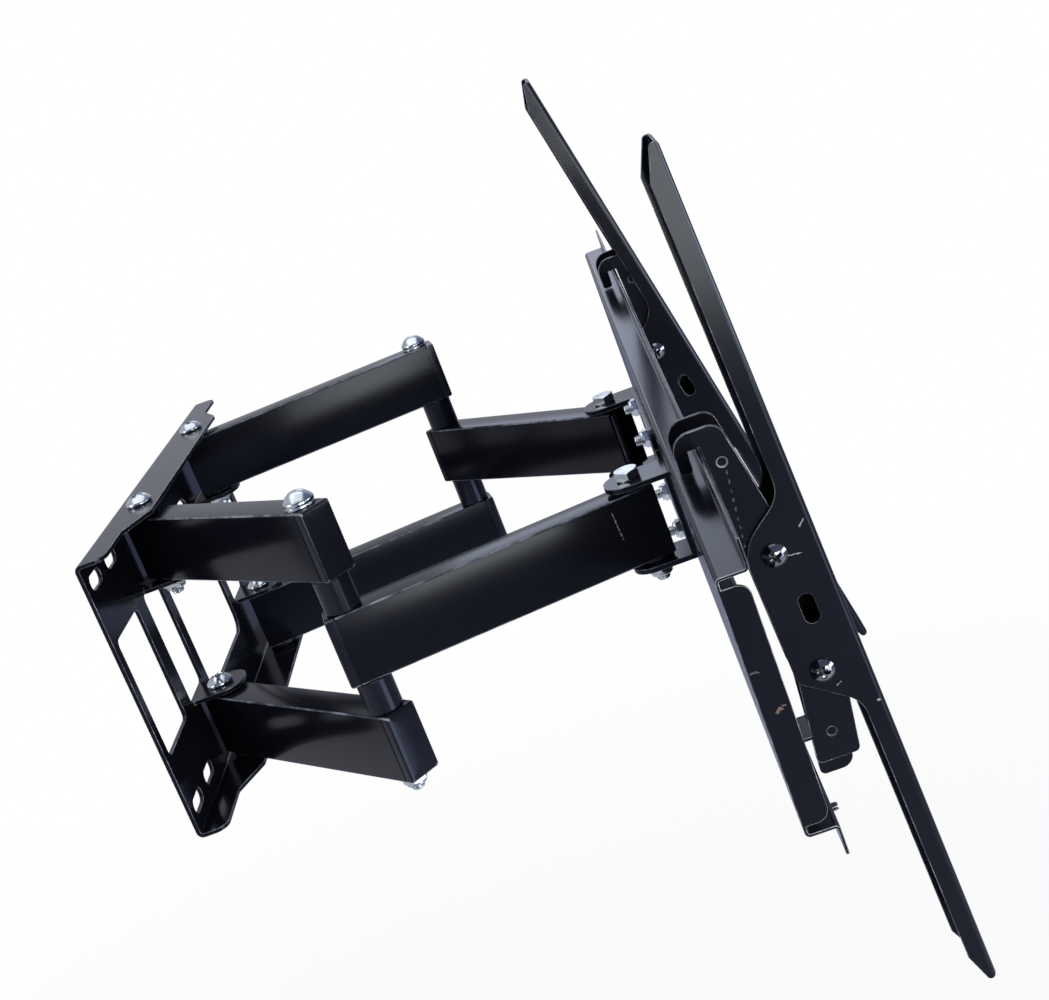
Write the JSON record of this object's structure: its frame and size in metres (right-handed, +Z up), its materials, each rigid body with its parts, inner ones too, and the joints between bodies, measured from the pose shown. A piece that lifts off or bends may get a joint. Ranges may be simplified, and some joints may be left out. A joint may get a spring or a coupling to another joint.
{
  "type": "swivel tv wall mount",
  "caption": "Black folding double-arm wall mount for a flat screen, with a slotted wall plate, level rail and hooked tilting brackets.",
  "frame": {"origin": "centre of the wall slots, in the plane of the wall plate's back", "axes": "+X along the wall to the right as seen from the room, +Y into the wall, +Z up"},
  "size_m": [0.6305, 0.4146, 0.4936],
  "materials": {
    "black_paint": "semi-gloss powder coat",
    "black_plastic": "moulded",
    "zinc": "bright zinc plate",
    "dark_nickel": "black nickel plate"
  },
  "bodies": {
    "wall": {"wall_plate": "black_paint", "wall_pivot_bolts": "zinc", "wall_pivot_nuts": "zinc", "wall_pivot_washers": "black_plastic"},
    "left_inner_arm": {"left_upper_inner_tube": "black_paint", "left_lower_inner_tube": "black_paint", "left_inner_end_caps": "black_plastic", "left_elbow_bolt": "zinc", "left_elbow_washer": "zinc", "left_elbow_nut": "zinc", "left_elbow_spacers": "black_plastic"},
    "left_outer_arm": {"left_outer_tube": "black_paint", "left_outer_end_cap": "black_plastic"},
    "right_inner_arm": {"right_upper_inner_tube": "black_paint", "right_lower_inner_tube": "black_paint", "right_inner_end_caps": "black_plastic", "right_elbow_bolt": "zinc", "right_elbow_washer": "zinc", "right_elbow_nut": "zinc", "right_elbow_spacers": "black_plastic"},
    "right_outer_arm": {"right_outer_tube": "black_paint", "right_outer_end_cap": "black_plastic"},
    "head": {"head_bracket": "black_paint", "head_pivot_bolts": "zinc", "head_pivot_nuts": "zinc", "head_pivot_washers": "black_plastic", "level_bolts": "zinc", "level_washers": "zinc", "level_nuts": "zinc"},
    "rail": {"tv_rail": "black_paint", "rail_stop_screws": "dark_nickel"},
    "left_hook": {"left_hook_bracket": "black_paint", "left_lock_screw": "dark_nickel"},
    "left_channel": {"left_tilt_channel": "black_paint", "left_tilt_screws": "dark_nickel", "left_tilt_nuts": "dark_nickel"},
    "right_hook": {"right_hook_bracket": "black_paint", "right_lock_screw": "dark_nickel"},
    "right_channel": {"right_tilt_channel": "black_paint", "right_tilt_screws": "dark_nickel", "right_tilt_nuts": "dark_nickel"}
  },
  "joints": [
    {"name": "fold", "type": "hinge", "parent": "wall", "child": "left_inner_arm", "pos_m": [-0.088, -0.0175, 0], "axis": [0, 0, 1], "range_deg": [-36, 14]},
    {"name": "left_elbow", "type": "hinge", "parent": "left_inner_arm", "child": "left_outer_arm", "pos_m": [-0.20812, -0.13149, 0], "axis": [0, 0, 1], "range_deg": [-42, 108]},
    {"name": "left_head_pivot", "type": "hinge", "parent": "left_outer_arm", "child": "head", "pos_m": [-0.17794, -0.29432, 0], "axis": [0, 0, 1], "range_deg": [-72, 28]},
    {"name": "right_wall_pivot", "type": "hinge", "parent": "wall", "child": "right_inner_arm", "pos_m": [0.088, -0.0175, 0], "axis": [0, 0, 1], "range_deg": [-28, 72]},
    {"name": "right_elbow", "type": "hinge", "parent": "right_inner_arm", "child": "right_outer_arm", "pos_m": [0.11818, -0.18033, 0], "axis": [0, 0, 1], "range_deg": [-108, 42]},
    {"name": "level", "type": "hinge", "parent": "head", "child": "rail", "pos_m": [-0.08994, -0.29432, 0], "axis": [0, -1, 0], "range_deg": [-9.1, 0.9]},
    {"name": "left_bracket_slide", "type": "slide", "parent": "rail", "child": "left_hook", "axis": [0.9974, 0, 0.0715], "range_m": [-0.072, 0.13]},
    {"name": "right_bracket_slide", "type": "slide", "parent": "rail", "child": "right_hook", "axis": [0.9974, 0, 0.0715], "range_m": [-0.126, 0.076]},
    {"name": "left_tilt", "type": "hinge", "parent": "left_hook", "child": "left_channel", "pos_m": [-0.27586, -0.35162, -0.06376], "axis": [-0.9974, 0, -0.0715], "range_deg": [-4.3, 8.7]},
    {"name": "right_tilt", "type": "hinge", "parent": "right_hook", "child": "right_channel", "pos_m": [0.09918, -0.35162, -0.03687], "axis": [-0.9974, 0, -0.0715], "range_deg": [-12.8, 0.2]}
  ],
  "couplings": [
    {"joint": "left_elbow", "follows": "fold", "ratio": -3},
    {"joint": "left_head_pivot", "follows": "fold", "ratio": 2},
    {"joint": "right_wall_pivot", "follows": "fold", "ratio": -2},
    {"joint": "right_elbow", "follows": "fold", "ratio": 3}
  ]
}
